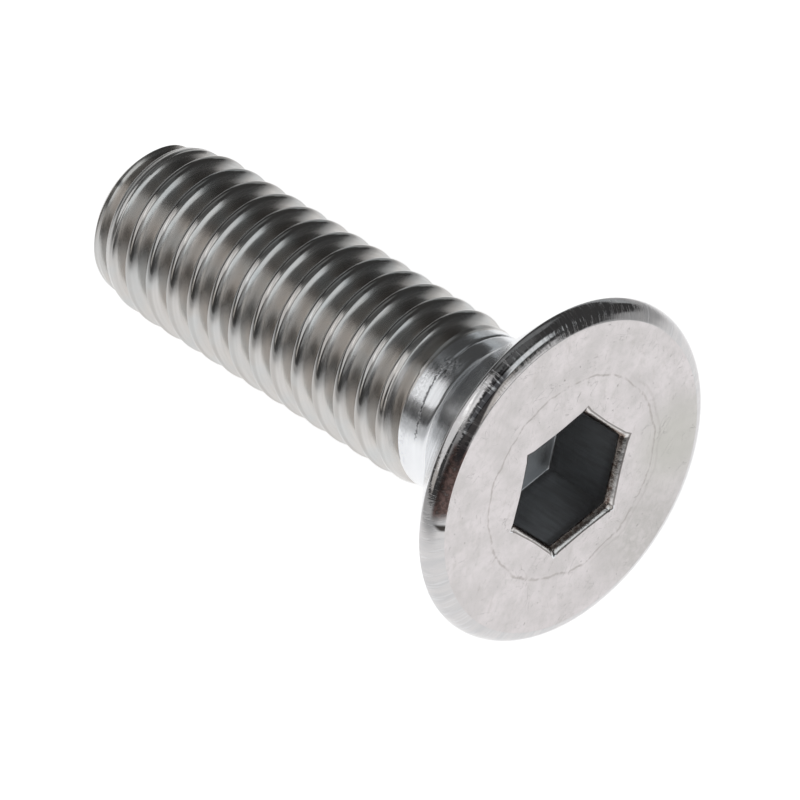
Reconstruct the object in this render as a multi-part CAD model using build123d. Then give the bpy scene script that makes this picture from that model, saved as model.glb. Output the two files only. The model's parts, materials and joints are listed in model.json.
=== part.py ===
from build123d import *

import os
from math import atan2, ceil, cos, degrees, radians, sin, sqrt, tan

# A countersunk screw with a hexagon socket, M6 x 20, cold-headed and thread-rolled from one
# piece of stainless wire.  It is built upright first, with the flat face of its head at z = 0
# and its tip at +z, and then laid down as it comes to rest, on the rim of its head and on a
# crest near its tip.  The origin is then under the middle of the screw, on the floor.

# Overall
screw_length = 20.0          # a countersunk screw is measured with its head

# Head
head_diameter = 11.72
rim_width = 0.5              # the flat face ends this far inside the rim
rim_round = 0.5              # radius of the rim where it runs into the land
rim_round_angle = 45.0       # how far that radius turns; a shallow bevel joins it to the face
land_height = 0.1            # short straight wall between that radius and the cone
countersink_angle = 90.0     # included angle of the cone

# Neck between the cone and the thread
neck_diameter = 5.5
neck_fillet = 0.45           # radius where the cone runs into the neck
neck_length = 1.4            # from the cone to where the blank swells to the crests
swell_length = 0.8           # length over which it swells

# Thread, metric coarse and right-handed
nominal_diameter = 6.0
pitch = 1.0
flank_angle = 60.0
crest_clearance = 0.06       # the rolled crests stay this far under the nominal radius
full_groove_start = 1.625    # from the cone to where the groove has reached its full depth
full_groove_angle = -80.8    # turn of that place about the axis, from a corner of the socket
runout_turns = 1.05          # turns over which the groove climbs out to the neck

# Tip
lead_length = 1.6            # length over which the crests shrink towards the end
lead_angle = 12.5            # slope of the shrinking crests to the axis
end_bevel = 0.25             # bevel of the blank's end, at 45 degrees

# Socket
key_size = 4.0               # across the flats of the key
key_clearance = 0.03         # the socket is this much wider than its key
socket_depth = 2.75          # from the face to the edge of the floor
mouth_lip = 0.2              # the mouth spreads this far outside each flat
mouth_depth = 0.26           # and does so over this depth
floor_ledge = 0.12           # flat ledge between the flats and the cone in the floor
floor_cone_angle = 160.0     # included angle of the shallow cone that the punch leaves
socket_offset = 0.17         # the punch struck this far off the axis of the head

# Rest
roll_angle = 23.9            # turn of the screw about its own axis where it lies

# Past-the-part allowances of the cutting tools
crest_overcut = 0.02         # the groove tool reaches this far past the crests
runout_overrun = 0.15        # extra turns in which the groove tool leaves the neck
tool_overhang = 4.0          # stock left past the tip until the tip is turned

# Worked out from the sizes above
head_radius = head_diameter / 2
neck_radius = neck_diameter / 2
land_end = rim_round + land_height
cone_end = land_end + (head_radius - neck_radius) / tan(radians(countersink_angle / 2))
crest_radius = nominal_diameter / 2 - crest_clearance
flank_slope = tan(radians(flank_angle / 2))
sharp_thread_height = pitch / 2 / flank_slope
groove_apex_radius = nominal_diameter / 2 - sharp_thread_height * 7 / 8
root_radius = crest_radius - sharp_thread_height * 17 / 24
full_groove_height = cone_end + full_groove_start
lead_start = screw_length - lead_length
lead_end_radius = crest_radius - (lead_length - end_bevel) * tan(radians(lead_angle))
socket_size = key_size + key_clearance
rest_tilt = degrees(atan2(head_radius - crest_radius, lead_start - land_end))


def revolved(*outline):
    """Solid of revolution about Z of a closed outline of (radius, height) points."""
    points = [(radius, 0, height) for radius, height in outline]
    return revolve(make_face(Polyline(*points, close=True)), Axis.Z)


def corner_near(face, radius, height):
    """The outline's corner that lies at this radius and height."""
    return face.vertices().sort_by_distance((radius, 0, height))[0]


def rim_point(angle):
    """Point of the rim's round, this many degrees before it runs into the land."""
    inset = rim_round * (1 - cos(radians(angle)))
    return head_radius - inset, 0, rim_round * (1 - sin(radians(angle)))


def make_blank():
    """The headed blank, with a plain shank that still runs past the tip."""
    swell_start = cone_end + neck_length
    stock_end = screw_length + tool_overhang
    bevel_end = rim_point(rim_round_angle)
    face_and_bevel = Polyline((0, 0, 0), (head_radius - rim_width, 0, 0), bevel_end)
    rim = ThreePointArc(bevel_end, rim_point(rim_round_angle / 2), rim_point(0))
    shank = Polyline(
        rim_point(0),
        (head_radius, 0, land_end),
        (neck_radius, 0, cone_end),
        (neck_radius, 0, swell_start),
        (crest_radius, 0, swell_start + swell_length),
        (crest_radius, 0, stock_end),
        (0, 0, stock_end),
        (0, 0, 0),
    )
    section = make_face([face_and_bevel, rim, shank])
    section = fillet(corner_near(section, neck_radius, cone_end), neck_fillet)
    return revolve(section, Axis.Z)


def flank_half_width(radius):
    """Half the width between the groove's straight flanks, this far from the axis."""
    return (radius - groove_apex_radius) * flank_slope


def groove_section():
    """Section of the groove in a plane through the axis, around height 0.

    The flanks are straight in their outer half.  Below it they lean in, to the line at the
    bottom of the root, and so follow the rounding that thread rolls have there.
    """
    mouth_radius = crest_radius + crest_overcut
    flank_foot_radius = (root_radius + crest_radius) / 2
    half_mouth = flank_half_width(mouth_radius)
    half_foot = flank_half_width(flank_foot_radius)
    outline = Polyline(
        (root_radius, 0, 0),
        (flank_foot_radius, 0, -half_foot),
        (mouth_radius, 0, -half_mouth),
        (mouth_radius, 0, half_mouth),
        (flank_foot_radius, 0, half_foot),
        close=True,
    )
    return make_face(outline)


def sweep_groove(path):
    return sweep(groove_section(), path=path, is_frenet=True)


def make_groove_turns():
    """The groove at its full depth, turn by turn, from where its run-out ends to past the tip."""
    turn = sweep_groove(Helix(pitch=pitch, height=pitch, radius=root_radius))
    turns = ceil((screw_length - full_groove_height) / pitch)
    return [Pos(0, 0, number * pitch) * turn for number in range(turns)]


def make_runout():
    """The same groove going on towards the head, on a cone that climbs out to the neck."""
    climb_angle = degrees(atan2(neck_radius - root_radius, runout_turns * pitch))
    slant_pitch = pitch / cos(radians(climb_angle))
    turns = runout_turns + runout_overrun
    path = Helix(
        pitch=slant_pitch,
        height=turns * slant_pitch,
        radius=root_radius,
        cone_angle=climb_angle,
    )
    return sweep_groove(Rot(180, 0, 0) * path)


def make_tip_waste():
    """What the point of the screw is turned out of."""
    clear_radius = crest_radius + tool_overhang
    start = lead_start - tool_overhang
    start_radius = crest_radius + tool_overhang * tan(radians(lead_angle))
    return revolved(
        (start_radius, start),
        (lead_end_radius, screw_length - end_bevel),
        (lead_end_radius - end_bevel, screw_length),
        (0, screw_length),
        (0, screw_length + 2 * tool_overhang),
        (clear_radius, screw_length + 2 * tool_overhang),
        (clear_radius, start),
    )


def hexagon(width, height):
    """Hexagon of this width across its flats, with a corner towards +X, at this height."""
    corner_radius = width / sqrt(3)
    return Pos(0, 0, height) * RegularPolygon(corner_radius, side_count=6)


def make_socket():
    """The space that the punch leaves, with its corners pointing along X and every 60 degrees."""
    shaft = extrude(hexagon(socket_size, 0), socket_depth)
    mouth = loft([hexagon(socket_size + 2 * mouth_lip, 0), hexagon(socket_size, mouth_depth)])
    floor_radius = socket_size / 2 - floor_ledge
    floor_drop = floor_radius / tan(radians(floor_cone_angle / 2))
    floor = revolved((0, 0), (floor_radius, 0), (floor_radius, socket_depth),
                     (0, socket_depth + floor_drop))
    return Pos(-socket_offset, 0, 0) * (shaft + mouth + floor)


def make_screw():
    """The screw standing on the flat face of its head."""
    groove_place = Pos(0, 0, full_groove_height) * Rot(0, 0, full_groove_angle)
    threaded = make_blank() - [groove_place * turn for turn in make_groove_turns()]
    threaded -= groove_place * make_runout()
    pointed = threaded - make_tip_waste()
    return pointed - make_socket()


def lay_down(upright):
    """Lay the screw along X with its head towards +X, and rest it on the floor z = 0."""
    lying = Rot(0, -90 - rest_tilt, 0) * Rot(0, 0, roll_angle) * upright
    box = lying.bounding_box()
    return Pos(-box.center().X, -box.center().Y, -box.min.Z) * lying


os.makedirs("parts", exist_ok=True)
screw = lay_down(make_screw())
export_step(screw, "parts/screw.step")
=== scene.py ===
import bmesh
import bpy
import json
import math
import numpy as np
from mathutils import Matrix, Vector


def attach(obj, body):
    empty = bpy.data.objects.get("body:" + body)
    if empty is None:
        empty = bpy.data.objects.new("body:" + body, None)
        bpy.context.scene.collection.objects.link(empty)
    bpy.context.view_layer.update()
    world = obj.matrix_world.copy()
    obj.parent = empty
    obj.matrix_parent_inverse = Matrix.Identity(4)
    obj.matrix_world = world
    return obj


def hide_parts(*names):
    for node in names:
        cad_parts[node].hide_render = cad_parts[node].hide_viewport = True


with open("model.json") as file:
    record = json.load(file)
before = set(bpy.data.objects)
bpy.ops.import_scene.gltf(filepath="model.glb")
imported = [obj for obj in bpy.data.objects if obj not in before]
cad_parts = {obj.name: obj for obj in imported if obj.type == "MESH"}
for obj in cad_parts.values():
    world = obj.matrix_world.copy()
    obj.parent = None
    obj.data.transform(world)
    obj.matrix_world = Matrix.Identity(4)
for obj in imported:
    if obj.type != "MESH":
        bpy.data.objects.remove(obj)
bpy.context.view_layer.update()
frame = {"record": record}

# %% [markdown]
# ## A countersunk socket screw
#
# The object is one piece of stainless steel: a wire was cut off, its end was struck into a cone with a
# six-sided socket in it, and the shank was rolled between two grooved dies until the thread stood up.
# The solid from the CAD side has the true head, socket and helical groove. Here the same shape is made
# again as one fine mesh, so that the crests and the root of the thread can be rounded as rolled metal is,
# and then it gets its steel. The first cell loads the tools, the record and the solid.

MM = 0.001

# %% [markdown]
# ## Where the screw lies
#
# A screw is easiest to describe upright: its axis is Z, the face of its head is at z = 0 and its tip is up.
# The real one lies on the rim of its head and on a crest near its tip. One could work out every point
# lying down, but it is simpler to make the mesh upright and to lay it down with one matrix. The matrix
# comes from the places that the record names on the screw, so it can't drift away from the solid: the
# thread gives the axis, and the socket, which was struck a little off the axis, gives the turn about it.

# %% The matrix that lays the screw down
places = {mount["name"]: mount for mount in frame["record"]["mounts"]}
axis = Vector(places["thread"]["axis"]).normalized()
socket_point = Vector(places["hex_socket"]["pos_m"])
seat_point = Vector(places["countersunk_seat"]["pos_m"])
face_centre = seat_point + axis * (socket_point - seat_point).dot(axis)
towards_corner = (face_centre - socket_point).normalized()
sideways = axis.cross(towards_corner)
lying = Matrix((towards_corner, sideways, axis)).transposed().to_4x4()
lying.translation = face_centre
print("socket stands", round((socket_point - face_centre).length / MM, 3), "mm off the axis")

# %% [markdown]
# ## The sizes
#
# These are the sizes of an M6 screw in millimetres, the ones that the solid was built from, except at the
# rim and the mouth of the socket. There, as on the crests and at the bottom of the groove, this mesh can
# afford a smooth round where the solid makes do with a few flat strips. So the round of the rim is a
# little larger and turns further, and the mouth is a few hundredths wider and deeper.

# %% Sizes of the screw, in millimetres
LENGTH = 20.0
HEAD_RADIUS = 5.86
RIM_WIDTH, RIM_ROUND, RIM_TURN, LAND_END = 0.5, 0.544, math.radians(65.5), 0.6
NECK_RADIUS, NECK_FILLET = 2.75, 0.45
CONE_END = LAND_END + HEAD_RADIUS - NECK_RADIUS
SWELL_START, SWELL_END = CONE_END + 1.4, CONE_END + 2.2
PITCH = 1.0
CREST_RADIUS, ROOT_RADIUS, APEX_RADIUS = 2.94, 2.3266, 2.2422
GROOVE_START, GROOVE_ANGLE, RUNOUT_TURNS = CONE_END + 1.625, math.radians(-80.8), 1.05
LEAD_START, LEAD_SLOPE = LENGTH - 1.6, math.tan(math.radians(12.5))
END_BEVEL = 0.25
SOCKET_FLAT, SOCKET_DEPTH, SOCKET_OFFSET = 4.03 / 2, 2.75, 0.17
MOUTH_LIP, MOUTH_DEPTH = 0.23, 0.27
LEDGE, FLOOR_DROP = 0.12, 0.334
print("cone ends at", CONE_END, "and the groove is full from", GROOVE_START)

# %% [markdown]
# ## The thread as a helical ribbon
#
# A thread could be a profile swept along a curve, or a Screw modifier. Both leave open ends and can't fade
# out. A plain grid wrapped round the shank would do that, but its rows would cut across the crests and
# make them jagged. So the grid is sheared: going once round it also climbs by one pitch, and then every
# row of the grid runs along the thread. The last column joins the first one, one pitch higher.
#
# How far each point stands from the axis is the smaller of two numbers: the blank, with its neck and its
# pointed lead, and the groove, which climbs out of the metal over the last turn under the head. Rolled
# steel flows, so the flanks bulge a little below the crests, and the crests are slightly domed.

# %% The blank
def soft_min(a, b, width):
    """The smaller of two numbers, with the corner between them rounded over this width."""
    blend = np.clip(1 - np.abs(a - b) / width, 0, 1)
    return np.minimum(a, b) - blend * blend * width / 4


def swelling(z):
    """Nought on the neck, and one from where the blank has its full width."""
    return np.clip((z - SWELL_START) / (SWELL_END - SWELL_START), 0, 1)


LEAD_ROUND = 0.04


def blank_radius(z):
    """Radius of the blank at this height: neck, swell, plain crests and pointed lead."""
    plain = NECK_RADIUS + (CREST_RADIUS - NECK_RADIUS) * swelling(z)
    return soft_min(plain, CREST_RADIUS - (z - LEAD_START) * LEAD_SLOPE, LEAD_ROUND)


print("the lead narrows the blank to", round(float(blank_radius(LENGTH - END_BEVEL)), 3), "mm at the tip")

# %% The groove
FLANK_SLOPE, ROOT_ROUND = math.sqrt(3), 0.0488


def turns_up(z, angle):
    """Place along the groove in turns: whole at the bottom of the groove, and a half on the crest."""
    return (z - GROOVE_START) / PITCH - (angle - GROOVE_ANGLE) / (2 * np.pi)


def groove_radius(z, angle):
    """Radius of the bottom and flanks of the groove, at this height and angle about the axis."""
    turns_here = turns_up(z, angle)
    nearest = np.round(turns_here)
    lowest = np.full(np.shape(z), np.inf)
    for turn in (nearest - 1, nearest, nearest + 1):
        off_centre = (turns_here - turn) * PITCH
        wall = APEX_RADIUS + np.sqrt(off_centre**2 + ROOT_ROUND**2) * FLANK_SLOPE
        along = turn + (angle - GROOVE_ANGLE) / (2 * np.pi)
        lift = np.clip(-along / RUNOUT_TURNS, 0, 3) * (NECK_RADIUS - ROOT_RADIUS)
        lowest = np.minimum(lowest, wall + lift)
    return lowest


print("the groove is", round(CREST_RADIUS - ROOT_RADIUS, 3), "mm deep")

# %% The finished shank
FLANK_BULGE, BULGE_HEIGHT = 0.07, 0.35
SHOULDER_RISE, SHOULDER_ROUND = 0.08, 0.34
CREST_DOME, CREST_HALF_WIDTH, CREST_ROUND = 2.4, 0.11, 0.03


def crest_fall(z, angle):
    """How far the crest has fallen from its middle line; it is slightly domed, but the neck isn't."""
    turns_here = turns_up(z, angle)
    from_crest = 0.5 - np.abs(turns_here - np.round(turns_here))
    return CREST_DOME * np.clip(from_crest, 0, CREST_HALF_WIDTH)**2 * swelling(z)


def shank_radius(z, angle):
    """Radius of the finished shank: the smaller one of the domed blank and the bulging groove."""
    groove = groove_radius(z, angle)
    bulge = FLANK_BULGE * np.clip((groove - ROOT_RADIUS) / BULGE_HEIGHT, 0, 1)
    wall = soft_min(groove + bulge, CREST_RADIUS + SHOULDER_RISE, SHOULDER_ROUND)
    return soft_min(blank_radius(z) - crest_fall(z, angle), wall, CREST_ROUND)


print("crests are rounded over", CREST_ROUND, "mm and the shoulders below them over", SHOULDER_ROUND, "mm")

# %% [markdown]
# ## The rows of the ribbon
#
# Even rows would be the simple way, but they waste points on the straight flanks and cut the small rounds
# into corners. So the rows crowd together at the crest and at the root, where the steel bends most.

# %% Points of the ribbon
COLUMNS = 144
TURNS_BELOW, SPARE_TURNS = 2, 3

# The ribbon runs from a ring on the neck to a ring at the foot of the bevel of the tip.
HEAD_RING, TIP_RING = 4.02, LENGTH - END_BEVEL

# Places of the rows from a crest down to the root, in parts of a pitch.
HALF_ROWS = [0, 0.022, 0.042, 0.057, 0.072, 0.09, 0.115, 0.145,
             0.18, 0.22, 0.28, 0.35, 0.41, 0.445, 0.472, 0.5]
one_pitch = np.array(HALF_ROWS + [1 - place for place in HALF_ROWS[-2:0:-1]])
ROWS = len(one_pitch)

column_angle = np.arange(COLUMNS) * 2 * np.pi / COLUMNS
crest_row = (GROOVE_START / PITCH - GROOVE_ANGLE / (2 * np.pi) + 0.5) % 1.0
first_turn = math.floor(HEAD_RING / PITCH) - TURNS_BELOW + crest_row
turns = math.ceil((TIP_RING - HEAD_RING) / PITCH) + SPARE_TURNS
row_height = np.concatenate([first_turn + turn + one_pitch for turn in range(turns)]) * PITCH
ribbon_z = row_height[None, :] + column_angle[:, None] * PITCH / (2 * np.pi)
ribbon_z = np.clip(ribbon_z, HEAD_RING, TIP_RING)
ribbon_angle = np.broadcast_to(column_angle[:, None], ribbon_z.shape)
ribbon_radius = shank_radius(ribbon_z, ribbon_angle)
ribbon = np.stack([ribbon_radius * np.cos(ribbon_angle),
                   ribbon_radius * np.sin(ribbon_angle), ribbon_z], -1)
print("ribbon of", ribbon.shape[0], "columns and", ribbon.shape[1], "rows, crests out to",
      round(float(ribbon_radius.max()), 3), "mm")

# %% Faces of the ribbon
faces = []
points = [ribbon.reshape(-1, 3)]


def grid_index(column, row):
    """Number of a point of the ribbon; past the last column it is on the first, one pitch higher."""
    if column == COLUMNS:
        column, row = 0, row + ROWS
    return column * len(row_height) + row


for column in range(COLUMNS):
    rows_here = len(row_height) - 1 - (ROWS if column == COLUMNS - 1 else 0)
    for row in range(rows_here):
        corners = [grid_index(column, row), grid_index(column + 1, row),
                   grid_index(column + 1, row + 1), grid_index(column, row + 1)]
        # Where a face is cut off by the end of the shank, all its corners have come to one height.
        heights = {round(float(ribbon_z.flat[corner]), 9) for corner in corners}
        if len(heights) > 1:
            faces.append(corners)
print("faces of the shank:", len(faces))

# %% [markdown]
# ## The head as rings
#
# The head is round outside and six-sided inside, and both were struck in one blow. One could cut the
# socket with a boolean, but that leaves long thin faces which shade badly. Here the head is a stack of
# rings with as many points as the ribbon has columns. The outer rings are circles. From the face inwards
# they turn into hexagons step by step, go down the walls of the socket and end in the floor.

# %% Kinds of rings
SIDE_ANGLE = np.pi / 3
off_corner = np.abs((column_angle + SIDE_ANGLE / 2) % SIDE_ANGLE - SIDE_ANGLE / 2)


def circle(radius, z):
    """A ring round the axis; its radius is one number, or one for each column."""
    return np.stack([radius * np.cos(column_angle), radius * np.sin(column_angle),
                     np.full(COLUMNS, float(z))], -1)


def hexagon(half_width, z):
    """A hexagon with corners along X, moved to where the socket was struck."""
    reach = half_width / np.cos(SIDE_ANGLE / 2 - off_corner)
    return circle(reach, z) - (SOCKET_OFFSET, 0, 0)


def arc_rings(centre_radius, centre_z, radius, start, end, steps):
    """Rings along a round whose centre is this far from the axis, from one angle to another."""
    return [circle(centre_radius + radius * math.cos(angle), centre_z + radius * math.sin(angle))
            for angle in np.linspace(start, end, steps)]


def rings_between(first_ring, last_ring, steps):
    """Rings that turn the first one into the last one; neither of the two is repeated."""
    return [first_ring + (last_ring - first_ring) * step / steps for step in range(1, steps)]


print("the socket is", round(2 * SOCKET_FLAT / math.cos(SIDE_ANGLE / 2), 2), "mm across its corners")

# %% Rings of the neck and the fillet
FILLET_TURN = math.radians(45)
fillet_centre = NECK_RADIUS + NECK_FILLET
fillet_top = CONE_END + NECK_FILLET * math.tan(FILLET_TURN / 2)
head_rings = [circle(NECK_RADIUS, HEAD_RING), circle(NECK_RADIUS, fillet_top)]
head_rings += arc_rings(fillet_centre, fillet_top, NECK_FILLET, np.pi, np.pi + FILLET_TURN, 7)[1:]
print("the fillet starts", round(fillet_top, 3), "mm above the face")

# %% Rings of the cone and the rim
# The corner between cone and rim is eased: how far inwards and how far up each of its rings stands.
RIM_CORNER = ((0.04, 0.04), (0.012, 0.008), (0.003, -0.03))
ROUND_START = math.radians(-6)

# The edge of the face is eased too: how far outwards of it and how far above the face.
FACE_CORNER = ((0.012, 0.0055), (-0.01, 0), (-0.03, 0))

face_edge = HEAD_RADIUS - RIM_WIDTH
round_inset = RIM_ROUND * (1 - math.cos(RIM_TURN))
bevel_rise = (RIM_WIDTH - round_inset) / math.tan(RIM_TURN)
round_middle = bevel_rise + RIM_ROUND * math.sin(RIM_TURN)
rim_rings = [circle(HEAD_RADIUS - inset, LAND_END + rise) for inset, rise in RIM_CORNER]
rim_rings += arc_rings(HEAD_RADIUS - RIM_ROUND, round_middle, RIM_ROUND, ROUND_START, -RIM_TURN, 11)
head_rings += rings_between(head_rings[-1], rim_rings[0], 10) + rim_rings
head_rings += rings_between(rim_rings[-1], circle(face_edge, 0), 3)
head_rings += [circle(face_edge + outwards, rise) for outwards, rise in FACE_CORNER]
print("the face is", round(face_edge, 3), "mm in radius, and the bevel is", round(bevel_rise, 3), "mm high")

# %% [markdown]
# ## The mouth of the socket
#
# The punch drags the steel with it, so the real mouth isn't a clean hexagon: its sides bow inwards, its
# corners are torn out a little, and the lip rolls over into the walls. A bevel would give one even edge.
# Rings of their own allow all three, and the bow and the tears fade as the rings go down.

# %% Rings of the face and the mouth
MOUTH_BOW, MOUTH_TEAR, TEAR_WIDTH = 0.035, 0.07, SIDE_ANGLE / 12
LIP_STEPS, LIP_CURVE = (0.08, 0.2, 0.35, 0.5, 0.65, 0.82), 1.35


def mouth_ring(lip, z, bow, tear):
    """A hexagon, wider than the socket by its lip, with sides bowed inwards and corners torn outwards."""
    part = off_corner / (SIDE_ANGLE / 2)
    change = tear * np.clip(1 - off_corner / TEAR_WIDTH, 0, 1) - bow * part**2 * (3 - 2 * part)
    return hexagon(SOCKET_FLAT + lip, z) + circle(change, 0)


mouth = mouth_ring(MOUTH_LIP, 0, MOUTH_BOW, MOUTH_TEAR)
head_rings += rings_between(head_rings[-1], mouth, 14) + [mouth]
for step in LIP_STEPS:
    out, down = (1 - step)**LIP_CURVE, step**LIP_CURVE
    head_rings.append(mouth_ring(MOUTH_LIP * out, MOUTH_DEPTH * down, MOUTH_BOW * out, MOUTH_TEAR * out))
print("rings down to the lip:", len(head_rings))

# %% Rings of the walls and the floor
# The corner at the floor is eased: how far inwards of the walls and how far short of the floor.
FLOOR_CORNER = ((0.018, 0.018), (0.06, 0))
LEDGE_SLOPE, POINT_RADIUS, POINT_SHORT = 0.004, 0.1, 0.018
wall_start, wall_end = hexagon(SOCKET_FLAT, MOUTH_DEPTH + 0.02), hexagon(SOCKET_FLAT, SOCKET_DEPTH - 0.06)
head_rings += [wall_start] + rings_between(wall_start, wall_end, 8) + [wall_end]
head_rings += [hexagon(SOCKET_FLAT - inset, SOCKET_DEPTH - rise) for inset, rise in FLOOR_CORNER]
floor_rim = circle(SOCKET_FLAT - LEDGE, SOCKET_DEPTH + LEDGE_SLOPE) - (SOCKET_OFFSET, 0, 0)
floor_middle = circle(POINT_RADIUS, SOCKET_DEPTH + FLOOR_DROP - POINT_SHORT) - (SOCKET_OFFSET, 0, 0)
head_rings += [floor_rim] + rings_between(floor_rim, floor_middle, 8) + [floor_middle]
print("rings in the whole head:", len(head_rings))

# %% [markdown]
# ## The end of the tip
#
# The groove runs right out through the end, so the last ring of the shank isn't round. A flat cap would
# leave a jagged edge there. Instead each further ring is cut down to the bevel, wherever the bevel is the
# narrower one, until only a plain circle is left.

# %% Rings of the tip
BEVEL_STEPS, END_CIRCLES = (0.02, 0.125, 0.23, 0.25, 0.27), (1.6, 1.0, 0.4)
end_radius = CREST_RADIUS - (TIP_RING - LEAD_START) * LEAD_SLOPE
tip_reach = shank_radius(np.full(COLUMNS, TIP_RING), column_angle)
tip_rings = [circle(tip_reach, TIP_RING)]
tip_rings += [circle(np.minimum(tip_reach, end_radius - inset), min(TIP_RING + inset, LENGTH))
              for inset in BEVEL_STEPS]
tip_rings += [circle(radius, LENGTH) for radius in END_CIRCLES]
print("rings at the tip:", len(tip_rings))

# %% [markdown]
# ## One closed skin
#
# A solid object has no holes, so the rings and the ribbon become one mesh: the points where they meet lie
# on each other and are merged, and faces that have shrunk to nothing are taken out. Two meshes pushed into
# each other would look the same from afar, but they shade with a seam. At the end each edge is counted:
# where one doesn't have exactly two faces, the skin is open.

# %% Faces of the rings
def add_rings(rings, closing_point, flip):
    """Adds a stack of rings and the faces between them, and closes the last one at a point."""
    base = sum(len(block) for block in points)
    points.extend(rings)
    points.append(np.array([closing_point], float))
    last, centre = base + (len(rings) - 1) * COLUMNS, base + len(rings) * COLUMNS
    neighbours = [(here, (here + 1) % COLUMNS) for here in range(COLUMNS)]
    skin = [[start + here, start + there, start + COLUMNS + there, start + COLUMNS + here]
            for start in range(base, last, COLUMNS) for here, there in neighbours]
    skin += [[last + here, last + there, centre] for here, there in neighbours]
    faces.extend(corners[::-1] if flip else corners for corners in skin)


add_rings(head_rings, (-SOCKET_OFFSET, 0, SOCKET_DEPTH + FLOOR_DROP), True)
add_rings(tip_rings, (0, 0, LENGTH), False)
print("faces of the whole screw:", len(faces))

# %% Joining the rings and the ribbon in one mesh
MERGE_DISTANCE, THINNEST_FACE, SHARP_ANGLE = 0.0005, 0.0002, math.radians(50)
mesh = bpy.data.meshes.new("screw_steel")
mesh.from_pydata(np.concatenate(points).tolist(), [], faces)

fine = bmesh.new()
fine.from_mesh(mesh)
bmesh.ops.remove_doubles(fine, verts=fine.verts, dist=MERGE_DISTANCE)
bmesh.ops.delete(fine, geom=[v for v in fine.verts if not v.link_faces], context="VERTS")
bmesh.ops.dissolve_degenerate(fine, edges=fine.edges, dist=THINNEST_FACE)
bmesh.ops.recalc_face_normals(fine, faces=fine.faces)
open_edges = [edge for edge in fine.edges if len(edge.link_faces) != 2]
triangles = sum(len(face.verts) - 2 for face in fine.faces)
print("the skin has", triangles, "triangles and", len(open_edges), "open edges")
fine.to_mesh(mesh)
fine.free()
mesh.set_sharp_from_angle(angle=SHARP_ANGLE)
mesh.polygons.foreach_set("use_smooth", [True] * len(mesh.polygons))

# %% [markdown]
# ## Remembering the upright place
#
# The finishes need to know where on the screw a point is, and that is simple only while it stands upright.
# Blender's own coordinates of an object would do for the face alone, because they lie aslant to everything
# else once the screw lies down. So each point first keeps its upright place, in millimetres, as an
# attribute of the mesh, and only then is the mesh laid down.

# %% Keeping the upright places, then laying the screw down
upright = np.empty(len(mesh.vertices) * 3, np.float32)
mesh.vertices.foreach_get("co", upright)
mesh.attributes.new("upright", "FLOAT_VECTOR", "POINT").data.foreach_set("vector", upright)
face_middle = np.empty(len(mesh.polygons) * 3, np.float32)
mesh.polygons.foreach_get("center", face_middle)
face_middle = face_middle.reshape(-1, 3)
mesh.transform(lying @ Matrix.Scale(MM, 4))
screw = bpy.data.objects.new("screw_threaded", mesh)
bpy.context.scene.collection.objects.link(screw)
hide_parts("screw")
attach(screw, "root")
print("upright places kept for", len(mesh.vertices), "points")

# %% [markdown]
# ## Small helpers for the finishes
#
# Steel has no texture of its own. What one sees is how each tool left it: rolled, struck, drawn or cut.
# Every finish below is therefore a few masks and noises, placed in the upright millimetres of the screw, so
# that a scratch can follow the thread, cross the rim or run round the cone. All of that is nodes, and a
# tree of nodes can be put together by hand. The helpers only save typing: each adds one node or two and
# hands back its output, so that a finish reads like a formula.

# %% Helpers that add a node
def node(tree, kind, inputs=None, output=0, **settings):
    """Adds a node, fills or links its inputs and gives back one of its outputs."""
    made = tree.nodes.new(kind)
    for name, value in settings.items():
        setattr(made, name, value)
    for place, value in (inputs or {}).items():
        if isinstance(value, bpy.types.NodeSocket):
            tree.links.new(value, made.inputs[place])
        else:
            made.inputs[place].default_value = value
    return made.outputs[output]


def maths(tree, operation, a, b=0.0):
    return node(tree, "ShaderNodeMath", {0: a, 1: b}, operation=operation)


def plus(tree, a, b):
    return maths(tree, "ADD", a, b)


def minus(tree, a, b):
    return maths(tree, "SUBTRACT", a, b)


def times(tree, a, b):
    return maths(tree, "MULTIPLY", a, b)


def greater(tree, a, b):
    """The greater of two numbers."""
    return maths(tree, "MAXIMUM", a, b)


def apart(tree, a, b):
    """How far two numbers are apart, whichever of them is the greater."""
    return maths(tree, "ABSOLUTE", minus(tree, a, b))


print("seven helpers for nodes and sums are ready")

# %% [markdown]
# ## Places, noises and masks
#
# The next helpers speak the language of the finishes: where a point is, how cloudy the steel is there, and
# how strongly a mark shows. A mask is a number from nought to one. A colour ramp could make it, but Map
# Range with soft ends does the same with two plain limits. What goes in may be anything that can be
# measured: a noise, a height, or how far a point is from the axis.

# %% Helpers for places
def upright_place(tree):
    """The upright place in millimetres that each point of the mesh keeps."""
    return node(tree, "ShaderNodeAttribute", attribute_name="upright", output="Vector")


def parts_of(tree, place):
    """The X, Y and Z of a place."""
    parts = tree.nodes.new("ShaderNodeSeparateXYZ")
    tree.links.new(place, parts.inputs[0])
    return parts.outputs["X"], parts.outputs["Y"], parts.outputs["Z"]


def joined(tree, x, y, z):
    return node(tree, "ShaderNodeCombineXYZ", {0: x, 1: y, 2: z})


def stretched(tree, place, amounts):
    """The place with each axis scaled by its own amount, which sets the size and lie of a noise."""
    return node(tree, "ShaderNodeVectorMath", {0: place, 1: amounts}, operation="MULTIPLY")


def away_from_axis(tree, place):
    """How far the place is from the axis of the screw."""
    flat = stretched(tree, place, (1, 1, 0))
    return node(tree, "ShaderNodeVectorMath", {0: flat}, operation="LENGTH", output="Value")


def on_unit_ring(tree, place):
    """The place moved straight to or from the axis, and down, onto a ring of radius one."""
    flat = stretched(tree, place, (1, 1, 0))
    return node(tree, "ShaderNodeVectorMath", {0: flat}, operation="NORMALIZE")


print("places are read from the attribute", mesh.attributes["upright"].name)

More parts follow.
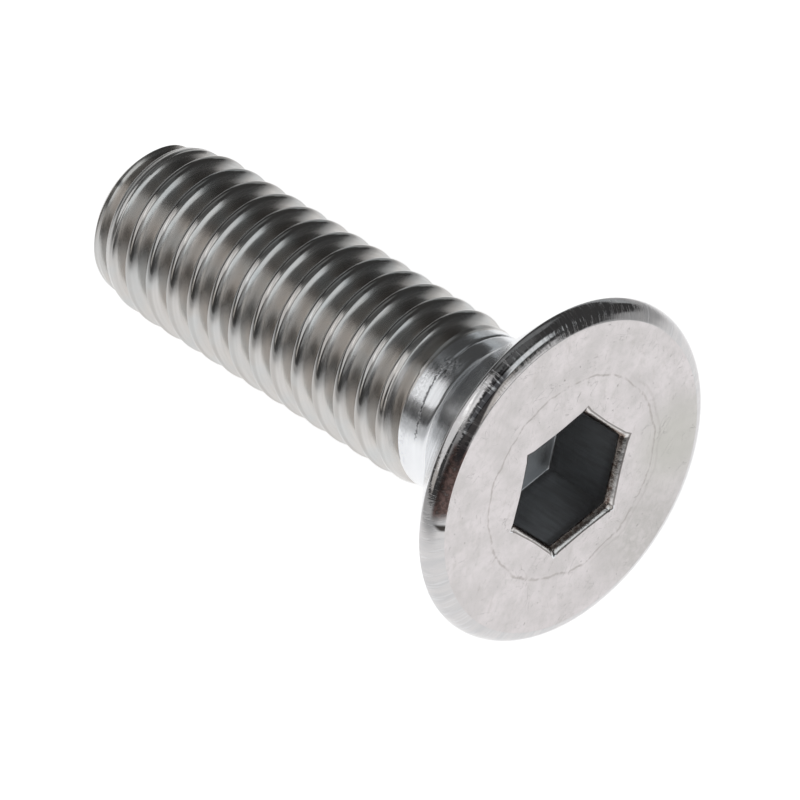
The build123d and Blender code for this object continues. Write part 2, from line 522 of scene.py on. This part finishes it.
# %% Helpers for noises, masks and colours
def cloudy(tree, place, scale=1.0, detail=3.0, rough=0.55):
    """Soft noise, most of it between 0.25 and 0.75."""
    return node(tree, "ShaderNodeTexNoise",
                {"Vector": place, "Scale": scale, "Detail": detail, "Roughness": rough})


def between(tree, value, low, high, at_low=0.0, at_high=1.0):
    """Turns low..high into at_low..at_high, with soft ends."""
    return node(tree, "ShaderNodeMapRange",
                {"Value": value, "From Min": low, "From Max": high, "To Min": at_low, "To Max": at_high},
                interpolation_type="SMOOTHSTEP")


def line(tree, off, inside, outside):
    """A thin mark: one where the number is under inside, and nought where it is over outside."""
    return between(tree, off, inside, outside, 1.0, 0.0)


def spot(tree, place, centre, size, soft=0.5):
    """A soft spot: one in its middle, nought outside; size is its radius, soft how much of it fades."""
    off = node(tree, "ShaderNodeVectorMath", {0: place, 1: centre}, operation="DISTANCE", output="Value")
    return line(tree, off, size * (1 - soft), size)


def mixed(tree, amount, a, b):
    """Colour a turned into colour b by this amount."""
    return node(tree, "ShaderNodeMix", {0: amount, 6: a, 7: b}, output=2, data_type="RGBA")


def coated(tree, colour, coat, mask, strength):
    """The colour under a coat of another one, as strong as this where the mask is one."""
    return mixed(tree, times(tree, mask, strength), colour, coat)


print("six helpers for noises, masks and colours are ready")

# %% [markdown]
# ## From a finish to a material
#
# Each finish hands back its colour, its roughness, the height of its marks and how deep they are. All of
# them are bare metal, so the rest is the same for all: a fully metallic surface, with the marks as bump.
# Real displacement would need millions of faces for marks that are a few thousandths of a millimetre deep,
# or a few hundredths on the torn end, and a bump does it as well.

# %% A material from each finish
def steel_finish(name, make):
    """A metal whose colour, roughness and bump come from the function make."""
    finish = bpy.data.materials.new(name)
    finish.use_nodes = True
    tree = finish.node_tree
    shader = tree.nodes["Principled BSDF"]
    shader.inputs["Metallic"].default_value = 1.0
    colour, roughness, height, depth = make(tree)
    bump = node(tree, "ShaderNodeBump", {"Height": height, "Strength": 1.0, "Distance": depth * MM})
    tree.links.new(colour, shader.inputs["Base Color"])
    tree.links.new(roughness, shader.inputs["Roughness"])
    tree.links.new(bump, shader.inputs["Normal"])
    mesh.materials.append(finish)
    print("finish", name, "has", len(tree.nodes), "nodes")


# %% [markdown]
# ## The rolled thread
#
# The dies pressed the groove into the wire while it turned between them, so every trace on a flank runs
# along the thread. A tangled noise would look like casting. Here the noise is squeezed across the thread
# and drawn out along it: it changes fast with the distance from the axis, which follows the flanks, and
# slowly round the screw. A thin warm film stays behind near the root. The crests are smooth and a little
# darker than the flanks. A small dark dent sits by the tip, where the screw fell against something hard.

# %% Colours and marks of the thread
ROOT_STEEL = (0.565, 0.538, 0.512, 1)
FLANK_STEEL = (0.575, 0.562, 0.55, 1)
CREST_STEEL = (0.452, 0.436, 0.421, 1)
TRACE_STEEL = (0.48, 0.46, 0.44, 1)
BLOTCH_STEEL = (0.50, 0.525, 0.535, 1)
DENT_STEEL = (0.14, 0.14, 0.145, 1)
DENT_PLACE, DENT_RADIUS = (1.62, -2.12, 19.7), 0.2
OUTWARDS, UPWARDS, ROUND = 11.0, 3.0, 0.45
THREAD_MARKS = 0.0012
print("traces change", round(OUTWARDS / ROUND), "times faster outwards than along the thread")

# %% Rolled thread
def rolled_thread(tree):
    place = upright_place(tree)
    x, y, z = parts_of(tree, place)
    away = away_from_axis(tree, place)
    across = plus(tree, times(tree, away, OUTWARDS), times(tree, z, UPWARDS))
    along = joined(tree, times(tree, x, ROUND), times(tree, y, ROUND), across)
    traces = cloudy(tree, along, detail=4.0, rough=0.6)
    fine_traces = cloudy(tree, stretched(tree, along, (2.2, 2.2, 4.0)), detail=2.0, rough=0.5)
    blotches = cloudy(tree, place, scale=0.9)
    dent = spot(tree, place, DENT_PLACE, DENT_RADIUS, 0.6)
    colour = mixed(tree, between(tree, away, 2.45, 2.9), ROOT_STEEL, FLANK_STEEL)
    colour = mixed(tree, between(tree, away, 2.85, 2.915), colour, CREST_STEEL)
    colour = mixed(tree, between(tree, traces, 0.35, 0.7, 0.0, 0.35), colour, TRACE_STEEL)
    colour = mixed(tree, between(tree, blotches, 0.4, 0.7, 0.0, 0.45), colour, BLOTCH_STEEL)
    colour = coated(tree, colour, DENT_STEEL, dent, 0.8)
    roughness = plus(tree, between(tree, traces, 0.25, 0.75, 0.17, 0.24),
                     between(tree, away, 2.84, 2.91, 0.02, -0.06))
    height = plus(tree, traces, times(tree, fine_traces, 0.15))
    return colour, roughness, height, THREAD_MARKS


steel_finish("rolled_thread", rolled_thread)

# %% [markdown]
# ## The cone and the neck
#
# Under the head the wire was squeezed into a tapered die, which drew fine lines round it and left it cooler
# and smoother than the thread. The lines run round the axis, so this noise changes fast along the cone and
# hardly at all round it. Where the thread runs out, the dies skidded: the skin is dull there, a fold of
# steel was laid over into a dark jagged line, and at its end a patch is torn. One could model the fold,
# but it is as thin as a hair, so a mask and a little bump are enough.

# %% Colours and marks of the cone and the neck
LINE_BRIGHT, LINE_DARK = (0.82, 0.83, 0.845, 1), (0.57, 0.58, 0.60, 1)
BAND_STEEL = (0.52, 0.535, 0.56, 1)
# A paler steel for the neck: a painted highlight.
NECK_HIGHLIGHT_STEEL = (0.78, 0.79, 0.81, 1)
SKID_STEEL = (0.33, 0.33, 0.34, 1)
TORN_STEEL, TORN_PLACE, TORN_RADIUS = (0.22, 0.22, 0.225, 1), (2.1, -1.75, 4.42), 0.5
FOLD_STEEL, FOLD_HEIGHT, FOLD_CLIMB = (0.10, 0.10, 0.105, 1), 4.31, 0.14
FOLD_SIDE, FOLD_REACH = (0.342, -0.94, 0.0), 0.5
CONE_MARKS = 0.0022


def fold_of_steel(tree, place, x, z, broad, grain):
    """A thin jagged line that climbs along the neck on one side, broken here and there."""
    fold_height = plus(tree, FOLD_HEIGHT, times(tree, greater(tree, x, 0.0), FOLD_CLIMB))
    jagged = plus(tree, times(tree, broad, 0.1), times(tree, minus(tree, grain, 0.5), 0.25))
    fold = line(tree, apart(tree, plus(tree, z, jagged), fold_height), 0.012, 0.05)
    one_side = spot(tree, on_unit_ring(tree, place), FOLD_SIDE, FOLD_REACH, 0.35)
    breaks = between(tree, cloudy(tree, place, scale=4.0, detail=2.0, rough=0.5), 0.40, 0.47)
    return times(tree, times(tree, fold, one_side), breaks)


print("the fold runs about", FOLD_HEIGHT, "mm above the face")

# %% Cone and neck
def drawn_cone(tree):
    place = upright_place(tree)
    x, y, z = parts_of(tree, place)
    round_axis = joined(tree, times(tree, x, 0.35), times(tree, y, 0.35), times(tree, z, 9.0))
    lines = cloudy(tree, round_axis, detail=5.0, rough=0.62)
    broad = cloudy(tree, stretched(tree, round_axis, (1.4, 1.4, 0.22)), detail=2.0, rough=0.5)
    grain = cloudy(tree, place, scale=9.0, detail=4.0, rough=0.65)
    fold = fold_of_steel(tree, place, x, z, broad, grain)
    torn = times(tree, spot(tree, place, TORN_PLACE, TORN_RADIUS, 0.8), between(tree, grain, 0.44, 0.54))
    skid = times(tree, between(tree, z, 4.3, 4.9), between(tree, grain, 0.42, 0.6))
    colour = mixed(tree, between(tree, lines, 0.38, 0.7), LINE_BRIGHT, LINE_DARK)
    colour = mixed(tree, between(tree, broad, 0.4, 0.7, 0.0, 0.5), colour, BAND_STEEL)
    # Painted highlight: the neck is paler from about 3.9 mm above the face up to the thread, fading in from
    # 3.6 mm.
    colour = coated(tree, colour, NECK_HIGHLIGHT_STEEL, between(tree, z, 3.6, 3.9), 0.8)
    colour = coated(tree, colour, SKID_STEEL, skid, 0.2)
    colour = coated(tree, colour, TORN_STEEL, torn, 0.7)
    colour = coated(tree, colour, FOLD_STEEL, fold, 0.85)
    roughness = plus(tree, between(tree, lines, 0.3, 0.7, 0.14, 0.21), times(tree, skid, 0.06))
    sunk = plus(tree, times(tree, fold, 2.0), times(tree, torn, 1.5))
    height = minus(tree, plus(tree, lines, times(tree, skid, 0.25)), sunk)
    return colour, roughness, height, CONE_MARKS


steel_finish("drawn_cone", drawn_cone)

# %% [markdown]
# ## The rim
#
# The rim is what knocks against other screws in the bag. It is polished by the die, but short scratches
# cross it from the face to the cone. Their noise is laid on a ring of radius one, far enlarged, so that it
# changes fast round the rim and slowly across it. On one side the rim carries painted reflections: a
# mottled brown patch, and next to it a nearly black band, a painted dark reflection with a ragged upper
# edge, broken by the same scratches. An even dark band would look false. One knock has left a nick.

# %% Painted reflections and knocks of the rim
# Where the painted brown reflection and the painted dark reflection lie on the rim, and where the nick is.
BROWN_REFLECTION_PLACE, BROWN_REFLECTION_RADIUS = (0.75, -5.65, 0.15), 1.5
DARK_REFLECTION_SIDE, DARK_REFLECTION_REACH = (0.515, -0.857, 0.0), 0.35
DARK_REFLECTION_HEIGHT, DARK_REFLECTION_MIDDLE, DARK_REFLECTION_CLIMB = 0.20, 2.1, 0.075
FOOT_START, FOOT_CLIMB = 2.6, 0.07
NICK_PLACE, NICK_LEAN, NICK_SIDE = -0.85, -0.5, -5.2


def painted_brown_reflection(tree, place, z, grain):
    """A round patch of painted brown reflection, mottled, on the half of the rim that is next to the face.
    """
    patch = times(tree, spot(tree, place, BROWN_REFLECTION_PLACE, BROWN_REFLECTION_RADIUS, 0.3), between(tree, z, 0.3, 0.2))
    return times(tree, patch, between(tree, grain, 0.25, 0.5, 0.75, 1.0))


def painted_dark_reflection(tree, place, x, z, scratches):
    """A painted dark reflection: a band on the rim with a ragged top and a foot clear of the face, cut by
    scratches.
    """
    jagged = times(tree, minus(tree, scratches, 0.5), 0.35)
    climb = times(tree, minus(tree, x, DARK_REFLECTION_MIDDLE), DARK_REFLECTION_CLIMB)
    top = plus(tree, plus(tree, DARK_REFLECTION_HEIGHT, jagged), climb)
    foot = times(tree, greater(tree, minus(tree, x, FOOT_START), 0.0), FOOT_CLIMB)
    dark_reflection = times(tree, between(tree, minus(tree, top, z), -0.015, 0.02),
                 between(tree, minus(tree, z, foot), 0.01, 0.035))
    dark_reflection = times(tree, dark_reflection, spot(tree, on_unit_ring(tree, place), DARK_REFLECTION_SIDE, DARK_REFLECTION_REACH, 0.3))
    broken_by_scratches = times(tree, between(tree, scratches, 0.52, 0.60), between(tree, z, 0.10, 0.20, 0.1, 0.75))
    return times(tree, dark_reflection, minus(tree, 1.0, broken_by_scratches))


def small_nick(tree, x, y, z):
    """A short dark notch that leans across the rim."""
    narrow = line(tree, apart(tree, x, NICK_PLACE), 0.05, 0.16)
    low = line(tree, plus(tree, z, times(tree, x, NICK_LEAN)), 0.50, 0.60)
    return times(tree, times(tree, narrow, low), between(tree, y, NICK_SIDE, NICK_SIDE - 0.1))


# The brown patch and the black film that this prints are painted reflections.
print("the brown patch is", BROWN_REFLECTION_RADIUS, "mm in radius, and the black film about", DARK_REFLECTION_HEIGHT, "mm high")

# %% Rim
RIM_STEEL, RIM_DULL = (0.575, 0.56, 0.56, 1), (0.47, 0.47, 0.48, 1)
SCRATCH_STEEL = (0.72, 0.72, 0.73, 1)
# Colours of the painted brown and dark reflections on the rim, and the nick's own black.
BROWN_REFLECTION_DARK, BROWN_REFLECTION_LIGHT = (0.075, 0.05, 0.045, 1), (0.19, 0.13, 0.12, 1)
DARK_REFLECTION_BLACK, NICK_BLACK = (0.035, 0.033, 0.036, 1), (0.05, 0.045, 0.042, 1)
SCRATCH_ROUND, SCRATCH_ACROSS = 75.0, 1.6
RIM_MARKS = 0.0028


def knocked_rim(tree):
    place = upright_place(tree)
    x, y, z = parts_of(tree, place)
    enlarged = stretched(tree, on_unit_ring(tree, place), (SCRATCH_ROUND, SCRATCH_ROUND, 0.0))
    upwards = joined(tree, 0.0, 0.0, times(tree, z, SCRATCH_ACROSS))
    crossing = node(tree, "ShaderNodeVectorMath", {0: enlarged, 1: upwards}, operation="ADD")
    scratches = cloudy(tree, crossing, rough=0.6)
    wide = cloudy(tree, stretched(tree, crossing, (0.25, 0.25, 0.8)), detail=2.0, rough=0.5)
    grain = cloudy(tree, place, scale=7.0, rough=0.6)
    deep = between(tree, scratches, 0.55, 0.63)
    # Painted reflections on one side of the rim: a mottled brown patch and a nearly black band.
    brown_reflection = painted_brown_reflection(tree, place, z, grain)
    brown = mixed(tree, between(tree, grain, 0.4, 0.62), BROWN_REFLECTION_DARK, BROWN_REFLECTION_LIGHT)
    colour = mixed(tree, between(tree, wide, 0.35, 0.7, 0.0, 0.5), RIM_STEEL, RIM_DULL)
    colour = coated(tree, colour, SCRATCH_STEEL, deep, 0.3)
    colour = mixed(tree, brown_reflection, colour, brown)
    colour = coated(tree, colour, DARK_REFLECTION_BLACK, painted_dark_reflection(tree, place, x, z, scratches), 0.95)
    colour = mixed(tree, small_nick(tree, x, y, z), colour, NICK_BLACK)
    roughness = plus(tree, between(tree, scratches, 0.35, 0.65, 0.09, 0.14), times(tree, brown_reflection, 0.18))
    height = minus(tree, scratches, times(tree, deep, 0.6))
    return colour, roughness, height, RIM_MARKS


steel_finish("knocked_rim", knocked_rim)

# %% [markdown]
# ## The face of the head
#
# The face was struck flat by the heading punch and then pickled in acid, which leaves steel pale, faintly
# pink and a little cloudy. A mirror would be wrong, and so would an even grey. Here two sizes of cloud
# vary the colour, two broad stains dull one side of it, hairlines come from noises drawn far out in three
# directions and cut off near one value, and a fine wavy ring shows where the socket punch pressed the
# metal outwards. On the side of the stains the ring is doubled.

# %% Ring and hairlines of the face
RING_RADIUS, SECOND_RADIUS, RING_WAVES = 3.5, 3.72, 0.55

# Each set of hairlines: its turn about the axis, its scale and the value of the noise that it follows.
HAIR_SETS = ((0.35, 1.0, 0.52), (1.5, 1.3, 0.47), (2.6, 0.9, 0.55))


def punched_ring(tree, place, clouds, mottle):
    """The wavy ring round the socket, with a weaker second one on one side."""
    y = parts_of(tree, place)[1]
    waves = times(tree, minus(tree, clouds, 0.5), RING_WAVES)
    away = plus(tree, away_from_axis(tree, place), waves)
    first_ring = times(tree, line(tree, apart(tree, away, RING_RADIUS), 0.015, 0.06),
                       between(tree, mottle, 0.35, 0.55))
    second_ring = times(tree, line(tree, apart(tree, away, SECOND_RADIUS), 0.02, 0.07),
                        between(tree, y, 1.2, 2.6, 0.0, 0.35))
    return greater(tree, first_ring, second_ring)


def hairlines(tree, place):
    """Thin scratches in three directions, here and there."""
    hairs = 0.0
    for turn, scale, level in HAIR_SETS:
        turned = node(tree, "ShaderNodeVectorRotate", {"Vector": place, "Angle": turn},
                      rotation_type="Z_AXIS")
        drawn_out = stretched(tree, turned, (0.5 * scale, 2.2 * scale, 1.0))
        off = apart(tree, cloudy(tree, drawn_out, detail=2.0, rough=0.5), level)
        gate = between(tree, cloudy(tree, turned, scale=1.1 * scale, detail=1.0, rough=0.5), 0.54, 0.62)
        hairs = greater(tree, hairs, times(tree, line(tree, off, 0.0006, 0.0028), gate))
    return hairs


print("the ring is", RING_RADIUS, "mm in radius, and there are", len(HAIR_SETS), "sets of hairlines")

# %% Face
PALE_STEEL, CLOUD_STEEL = (0.645, 0.61, 0.615, 1), (0.55, 0.525, 0.523, 1)
MOTTLE_STEEL, SMEAR_STEEL = (0.52, 0.50, 0.49, 1), (0.46, 0.43, 0.415, 1)
RING_STEEL, HAIR_STEEL, PIT_STEEL = (0.36, 0.33, 0.315, 1), (0.30, 0.28, 0.27, 1), (0.22, 0.20, 0.19, 1)
GREEN_STAIN, GREEN_PLACE, GREEN_RADIUS = (0.48, 0.475, 0.44, 1), (0.6, 4.4, 0.0), 2.3
DULL_STAIN, DULL_PLACE, DULL_RADIUS = (0.47, 0.455, 0.44, 1), (-2.6, 3.9, 0.0), 2.4
FACE_MARKS = 0.006


def struck_face(tree):
    place = upright_place(tree)
    clouds = cloudy(tree, place, scale=0.75, detail=4.0, rough=0.6)
    mottle = cloudy(tree, stretched(tree, place, (3.2, 3.2, 1.0)), detail=5.0, rough=0.65)
    wiped = cloudy(tree, stretched(tree, place, (0.9, 2.6, 1.0)), scale=0.9, detail=5.0, rough=0.7)
    smears = between(tree, wiped, 0.56, 0.7)
    pits = between(tree, cloudy(tree, place, scale=5.5, detail=2.0, rough=0.5), 0.70, 0.76)
    green = spot(tree, place, GREEN_PLACE, GREEN_RADIUS, 0.8)
    dull = times(tree, spot(tree, place, DULL_PLACE, DULL_RADIUS, 0.8),
                 between(tree, mottle, 0.35, 0.6, 0.4, 0.8))
    ring = punched_ring(tree, place, clouds, mottle)
    hairs = hairlines(tree, place)
    colour = mixed(tree, between(tree, clouds, 0.35, 0.68), PALE_STEEL, CLOUD_STEEL)
    colour = mixed(tree, between(tree, mottle, 0.42, 0.72, 0.0, 0.5), colour, MOTTLE_STEEL)
    colour = coated(tree, colour, SMEAR_STEEL, smears, 0.35)
    colour = coated(tree, colour, GREEN_STAIN, green, 0.75)
    colour = mixed(tree, dull, colour, DULL_STAIN)
    colour = coated(tree, colour, RING_STEEL, ring, 0.55)
    colour = coated(tree, colour, HAIR_STEEL, hairs, 0.45)
    colour = coated(tree, colour, PIT_STEEL, pits, 0.6)
    roughness = between(tree, mottle, 0.3, 0.7, 0.14, 0.26)
    sunk = plus(tree, times(tree, hairs, 0.5), times(tree, ring, 0.5))
    height = minus(tree, times(tree, mottle, 0.5), sunk)
    return colour, roughness, height, FACE_MARKS


steel_finish("struck_face", struck_face)

# %% [markdown]
# ## The socket
#
# The six-sided punch scraped down the walls and left them dull, with dark forming grease in the grain. The
# scrape marks run straight down, so this noise is fast round the socket and slow with depth. At the mouth
# the punch has torn the edge over a little, and it shines and is stained there, with a thin dark line where
# the face ends. The floor was pressed by the punch's end and is cleaner than the walls. One could split
# the socket in three materials, but walls, lip and floor flow into each other, so depth blends them in one.

# %% Socket
WALL_STEEL, WALL_DULL = (0.345, 0.345, 0.35, 1), (0.29, 0.285, 0.285, 1)
FLOOR_STEEL = (0.57, 0.60, 0.63, 1)
LIP_STAIN, LIP_STEEL = (0.24, 0.18, 0.155, 1), (0.60, 0.555, 0.52, 1)
LIP_BRIGHT, LIP_EDGE = (0.66, 0.64, 0.63, 1), (0.14, 0.125, 0.12, 1)
SOCKET_MARKS = 0.005


def punched_socket(tree):
    place = upright_place(tree)
    depth = parts_of(tree, place)[2]
    scrapes = cloudy(tree, stretched(tree, place, (7.0, 7.0, 0.8)), detail=4.0, rough=0.6)
    grain = cloudy(tree, place, scale=6.0, detail=4.0, rough=0.7)
    lip = between(tree, depth, MOUTH_DEPTH + 0.02, MOUTH_DEPTH - 0.03)
    floor = between(tree, depth, SOCKET_DEPTH - 0.03, SOCKET_DEPTH)
    wall = mixed(tree, between(tree, scrapes, 0.35, 0.7), WALL_STEEL, WALL_DULL)
    torn = mixed(tree, between(tree, grain, 0.42, 0.58), LIP_STAIN, LIP_STEEL)
    torn = mixed(tree, between(tree, depth, 0.07, 0.12), LIP_BRIGHT, torn)
    torn = mixed(tree, between(tree, depth, 0.045, 0.015, 0.0, 0.8), torn, LIP_EDGE)
    colour = mixed(tree, floor, mixed(tree, lip, wall, torn), FLOOR_STEEL)
    roughness = plus(tree, between(tree, scrapes, 0.3, 0.7, 0.30, 0.42), times(tree, lip, -0.17))
    height = plus(tree, scrapes, times(tree, times(tree, grain, lip), 1.6))
    return colour, roughness, height, SOCKET_MARKS


steel_finish("punched_socket", punched_socket)

# %% [markdown]
# ## The sheared tip
#
# The far end is where the wire was cut off. A blade shears the first part and the rest tears, so one side
# of the cut is smooth with straight lines and the other is grainy. It is seldom seen, but the screw will be
# turned over, and a blank disc would give it away.

# %% Sheared tip
CUT_STEEL, CUT_DULL = (0.58, 0.565, 0.55, 1), (0.42, 0.41, 0.40, 1)
TIP_MARKS = 0.03


def sheared_tip(tree):
    place = upright_place(tree)
    x = parts_of(tree, place)[0]
    lines = cloudy(tree, stretched(tree, place, (0.6, 9.0, 1.0)), rough=0.6)
    grain = cloudy(tree, place, scale=5.0, detail=5.0, rough=0.7)
    torn = between(tree, x, -0.6, 0.5)
    texture = node(tree, "ShaderNodeMix", {0: torn, 2: lines, 3: grain}, data_type="FLOAT")
    colour = mixed(tree, between(tree, texture, 0.35, 0.65), CUT_STEEL, CUT_DULL)
    roughness = between(tree, torn, 0.0, 1.0, 0.24, 0.42)
    return colour, roughness, texture, TIP_MARKS


steel_finish("sheared_tip", sheared_tip)

# %% [markdown]
# ## Which faces carry which finish
#
# The finishes meet where one tool stopped and the next began: at the edge of the face, at the corner of the
# cone, where the thread runs out and at the edge of the cut. Painted weights could blend them, but on the
# real screw these borders are sharp edges, so each face of the mesh simply takes one finish, chosen by its
# upright place.

# %% Giving the finishes to the faces
THREAD_FROM, CUT_FROM, SKIN = 5.0, LENGTH - 0.01, 0.0015
RIM_TOP, RIM_FROM, FACE_REACH = LAND_END + 0.005, face_edge - 0.012, face_edge - 0.005
SOCKET_REACH, SOCKET_END = 2.68, SOCKET_DEPTH + 0.5
middle_z = face_middle[:, 2]
middle_away = np.hypot(face_middle[:, 0], face_middle[:, 1])
in_socket = (middle_z > SKIN) & (middle_z < SOCKET_END) & (middle_away < SOCKET_REACH)

# The later finish wins where two of these overlap.
worn_where = (("drawn_cone", middle_z < THREAD_FROM),
              ("knocked_rim", (middle_z < RIM_TOP) & (middle_away > RIM_FROM)),
              ("struck_face", (middle_z < SKIN) & (middle_away < FACE_REACH)),
              ("punched_socket", in_socket),
              ("sheared_tip", middle_z > CUT_FROM))
slots = {finish.name: number for number, finish in enumerate(mesh.materials)}
wearing = np.full(len(face_middle), slots["rolled_thread"])
for name, where in worn_where:
    wearing[where] = slots[name]
mesh.polygons.foreach_set("material_index", wearing.astype(np.int32))
mesh.update()
print({name: int((wearing == number).sum()) for name, number in slots.items()})

# %% [markdown]
# ## The table
#
# The table is white paper. Paper alone, lit at a plain level, would come out light grey, and turning the
# lamps up would wash out the steel. So the paper also glows, but only for rays that come straight from the
# camera or off the metal: it looks white and the steel mirrors white, while the lamps still throw the
# shadow. A few centimetres off, the glow that the metal mirrors fades, a painted darkening that the camera
# doesn't see, and there the steel mirrors a greyer table. An even glow would be simpler, but it is that
# greyer edge which draws the dark lines in bright metal.

# %% Table top
HALF_TABLE = 1.5
table_corners = [(x * HALF_TABLE, y * HALF_TABLE, 0) for x, y in ((-1, -1), (1, -1), (1, 1), (-1, 1))]
table_mesh = bpy.data.meshes.new("table_top")
table_mesh.from_pydata(table_corners, [], [(0, 1, 2, 3)])
table = bpy.data.objects.new("table_top", table_mesh)
bpy.context.scene.collection.objects.link(table)
print("the table is", 2 * HALF_TABLE, "m wide")

# %% White paper
GLOW, GLOW_BEYOND, PAPER_WHITE = 0.80, 0.22, (0.8, 0.8, 0.8, 1)
# Middle and ends of the fade of the mirrored glow, a painted darkening seen only in the metal.
FADE_MIDDLE, FADE_START, FADE_END = (0.009, 0.004, 0.0), 0.018, 0.044
paper = bpy.data.materials.new("white_paper")
paper.use_nodes = True
tree = paper.node_tree
tree.nodes.clear()
ray = tree.nodes.new("ShaderNodeLightPath").outputs
spot_on_table = node(tree, "ShaderNodeNewGeometry", output="Position")
from_middle = node(tree, "ShaderNodeVectorMath", {0: spot_on_table, 1: FADE_MIDDLE},
                   operation="DISTANCE", output="Value")
# Painted darkening for the metal only: the glow that it mirrors fades a few centimetres out.
mirrored_glow_fade = between(tree, from_middle, FADE_START, FADE_END, 1.0, GLOW_BEYOND)
mirrored = times(tree, greater(tree, ray["Is Glossy Ray"], ray["Is Transmission Ray"]), mirrored_glow_fade)
seen = greater(tree, ray["Is Camera Ray"], mirrored)
glow = node(tree, "ShaderNodeEmission", {"Color": (1, 1, 1, 1), "Strength": times(tree, seen, GLOW)})
matt = node(tree, "ShaderNodeBsdfDiffuse", {"Color": PAPER_WHITE})
both = node(tree, "ShaderNodeAddShader", {0: matt, 1: glow})
tree.links.new(both, tree.nodes.new("ShaderNodeOutputMaterial").inputs["Surface"])
table_mesh.materials.append(paper)
print("the paper glows by", GLOW, "for the camera and for the metal")

# %% [markdown]
# ## The lamps
#
# Polished metal has hardly any colour of its own: its light and dark are pictures of what stands round it.
# A bare sun or one big overhead lamp makes a thread look like plastic. Soft boxes are the studio's way.
# The key box on the left lights the crests, the front boxes put a highlight on the shoulder of each turn,
# a low strip behind draws the upper edge, and wide dim boxes keep the dark side from going black. Each
# box is given by its direction from the screw, the angles that it fills and how bright it looks there.

# %% Soft boxes
SCREW_MIDDLE, LAMP_DISTANCE = Vector((0, 0, 0.005)), 0.5
PLAIN, COOL, WARM = (1, 1, 1), (0.93, 0.98, 1.0), (1.0, 0.955, 0.90)

# Name; azimuth, elevation, width and height in degrees; brightness and colour.
SOFT_BOXES = (
    ("key_box", -120, 40, 60, 40, 0.94, PLAIN),
    ("side_box", -90, 64, 44, 26, 0.78, PLAIN),
    ("left_strip", -140, 16, 66, 12, 0.10, WARM),
    ("left_low", -98, 13, 26, 14, 0.55, WARM),
    ("front_box", 3, 39, 52, 26, 1.0, COOL),
    ("front_card", -6, 12, 36, 18, 0.62, WARM),
    ("front_strip", 20, 7, 20, 10, 1.0, PLAIN),
    ("near_card", -45, 46, 34, 54, 0.34, PLAIN),
    ("back_box", 150, 58, 42, 26, 0.18, COOL),
    ("back_strip", 118, 7, 44, 14, 0.42, COOL),
    ("back_low", 172, 12, 40, 16, 0.2, COOL),
    ("top_card", 0, 84, 40, 36, 0.08, COOL),
)


def filling(degrees):
    """How wide a box has to be to fill this angle as seen from the screw."""
    return 2 * LAMP_DISTANCE * math.tan(math.radians(degrees / 2))


for name, azimuth, elevation, wide, high, brightness, colour in SOFT_BOXES:
    round_by, up_by = math.radians(azimuth), math.radians(elevation)
    level = math.cos(up_by)
    out = Vector((level * math.cos(round_by), level * math.sin(round_by), math.sin(up_by)))
    data = bpy.data.lights.new(name, "AREA")
    data.shape = "RECTANGLE"
    data.size, data.size_y = filling(wide), filling(high)
    data.energy = brightness * math.pi * data.size * data.size_y
    data.color = colour
    lamp = bpy.data.objects.new(name, data)
    bpy.context.scene.collection.objects.link(lamp)
    lamp.location = SCREW_MIDDLE + out * LAMP_DISTANCE
    lamp.rotation_euler = (-out).to_track_quat("-Z", "Y").to_euler()
    lamp.visible_camera = False
    print(name, "stands at", [round(v, 2) for v in lamp.location], "with", round(data.energy, 2), "W")

# %% [markdown]
# ## The world
#
# The room round the boxes is nearly dark. A bright world would fill the shadows in the groove, and the
# thread would lose its depth.

# %% World
ROOM_STRENGTH = 0.06
world = bpy.data.worlds.new("studio")
bpy.context.scene.world = world
world.use_nodes = True
background = world.node_tree.nodes["Background"]
background.inputs["Color"].default_value = (1, 1, 1, 1)
background.inputs["Strength"].default_value = ROOM_STRENGTH
print("the world has a strength of", ROOM_STRENGTH)

# %% [markdown]
# ## The camera
#
# The camera looks down over the head along the shank. It stands some 26 cm away with a long lens, as is
# usual for so small a thing, because from close by the head would swell and the tip would shrink. One
# could aim it with a constraint, but a look direction turned into a rotation is exact and needs no helper
# object.

# %% Camera
LOOK = Vector((-0.50130, 0.46318, -0.73086)).normalized()
AIM, CAMERA_DISTANCE = Vector((0.0046897, -0.0026920, 0.0074720)), 0.2630805
SENSOR_WIDTH, FOCAL_LENGTH = 36.0, 382.2
camera_data = bpy.data.cameras.new("camera")
camera = bpy.data.objects.new("camera", camera_data)
bpy.context.scene.collection.objects.link(camera)
bpy.context.scene.camera = camera
camera_data.sensor_width = SENSOR_WIDTH
camera_data.lens = FOCAL_LENGTH
camera_data.clip_start, camera_data.clip_end = 0.01, 10.0
camera.location = AIM - LOOK * CAMERA_DISTANCE
camera.rotation_euler = LOOK.to_track_quat("-Z", "Y").to_euler()
bpy.context.scene.view_settings.view_transform = "Standard"
print("camera at", [round(v, 3) for v in camera.location], "m")
